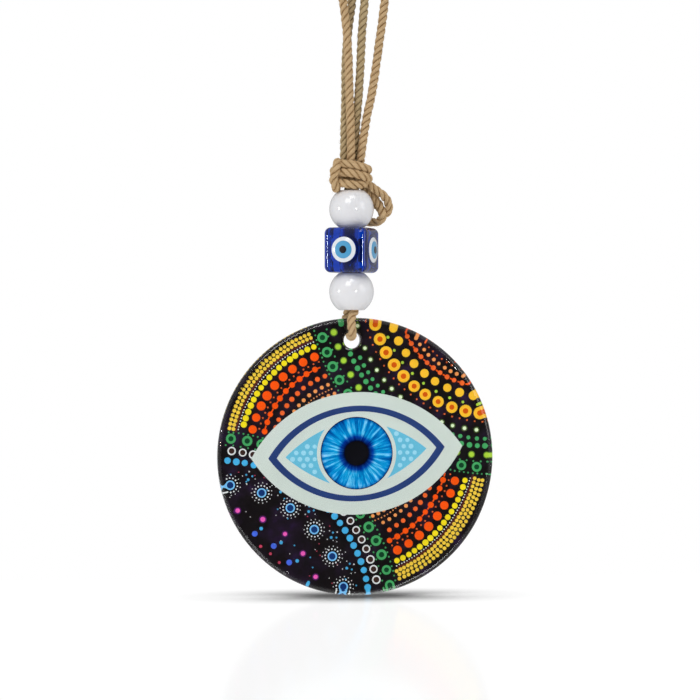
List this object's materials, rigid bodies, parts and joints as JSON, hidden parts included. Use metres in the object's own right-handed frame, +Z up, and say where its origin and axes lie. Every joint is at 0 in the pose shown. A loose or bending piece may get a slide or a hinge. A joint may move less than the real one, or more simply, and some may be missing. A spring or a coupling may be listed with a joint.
{
  "type": "evil eye hanging ornament",
  "caption": "Round printed glass eye charm hung on a knotted jute cord below a cube eye bead between two white beads.",
  "frame": {"origin": "bearing point at the top inside of the hanging loops, where a hook or nail carries them", "axes": "+Z up along the hanging cord, -Y the picture face, +X to the right seen from the front"},
  "size_m": [0.09, 0.0209, 0.236],
  "materials": {
    "clear_glass": "polished",
    "picture_print": "printed film",
    "backing": "satin white film",
    "white_glass": "glossy opaque white",
    "cobalt_glass": "glossy cobalt blue",
    "white_drop": "glossy opaque white",
    "light_blue_drop": "glossy light blue",
    "pupil_drop": "glossy black",
    "jute": "twisted natural jute"
  },
  "bodies": {
    "cord": {"hanging_knot": "jute", "front_hanging_loop": "jute", "back_hanging_loop": "jute", "tail_bight": "jute"},
    "upper_bead": {"upper_white_bead": "white_glass"},
    "cube": {"cube_bead": "cobalt_glass", "cube_eye_1_white": "white_drop", "cube_eye_1_blue": "light_blue_drop", "cube_eye_1_pupil": "pupil_drop", "cube_eye_2_white": "white_drop", "cube_eye_2_blue": "light_blue_drop", "cube_eye_2_pupil": "pupil_drop", "cube_eye_3_white": "white_drop", "cube_eye_3_blue": "light_blue_drop", "cube_eye_3_pupil": "pupil_drop", "cube_eye_4_white": "white_drop", "cube_eye_4_blue": "light_blue_drop", "cube_eye_4_pupil": "pupil_drop"},
    "lower_bead": {"lower_white_bead": "white_glass"},
    "disc_hanger": {"disc_cord": "jute"},
    "disc": {"glass_disc": "clear_glass", "picture_film": "picture_print", "white_backing": "backing"}
  },
  "joints": [
    {"name": "upper_bead_spin", "type": "hinge", "parent": "cord", "child": "upper_bead", "pos_m": [0, 0, -0.1071], "axis": [0, 0, 1], "continuous": true},
    {"name": "cube_bead_spin", "type": "hinge", "parent": "cord", "child": "cube", "pos_m": [0, 0, -0.1208], "axis": [0, 0, 1], "continuous": true},
    {"name": "lower_bead_spin", "type": "hinge", "parent": "cord", "child": "lower_bead", "pos_m": [0, 0, -0.1345], "axis": [0, 0, 1], "continuous": true},
    {"name": "disc_twist", "type": "hinge", "parent": "cord", "child": "disc_hanger", "pos_m": [0, 0, -0.1504], "axis": [0, 0, 1], "range_deg": [-90, 90]},
    {"name": "disc_sway", "type": "hinge", "parent": "disc_hanger", "child": "disc", "pos_m": [0, 0, -0.1504], "axis": [0, 1, 0], "range_deg": [-12, 12]}
  ]
}
